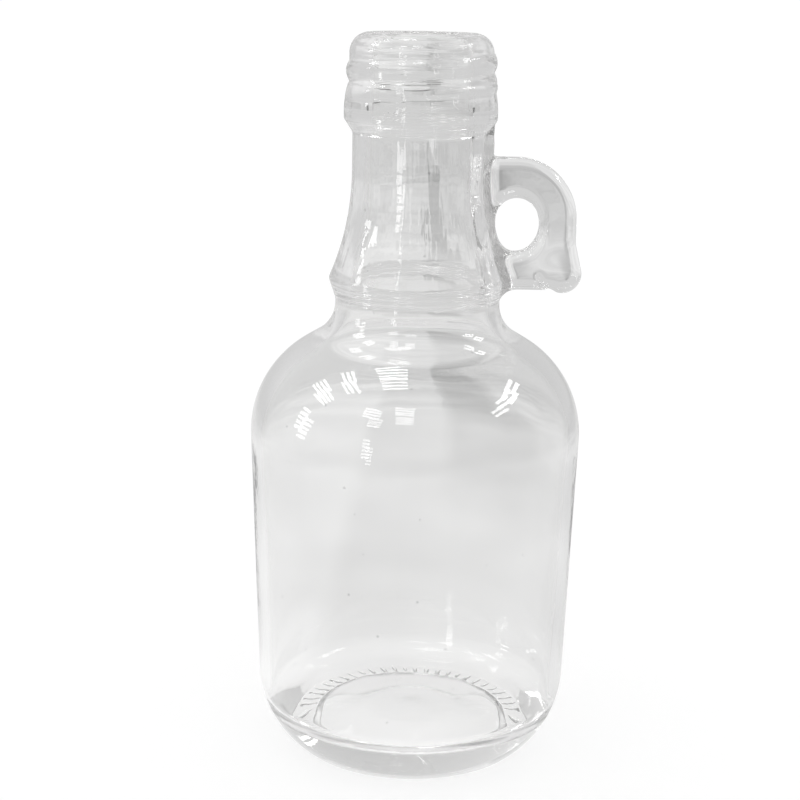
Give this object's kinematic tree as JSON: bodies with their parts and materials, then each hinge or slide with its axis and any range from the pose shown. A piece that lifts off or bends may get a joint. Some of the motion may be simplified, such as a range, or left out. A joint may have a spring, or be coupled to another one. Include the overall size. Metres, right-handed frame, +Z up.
{
  "type": "handled glass bottle",
  "caption": "Empty clear glass bottle with a rounded body, a flared neck over a ring, a screw finish with a smooth band, and a small moulded loop handle on one side of the neck.",
  "frame": {"origin": "on the bottle's axis, in the plane of the flat bearing ring it stands on", "axes": "+Z up along the bottle's axis to the mouth, +X towards the handle"},
  "size_m": [0.0696, 0.0696, 0.152],
  "materials": {
    "clear_glass": "clear gloss"
  },
  "bodies": {
    "root": {"bottle": "clear_glass"}
  },
  "joints": []
}
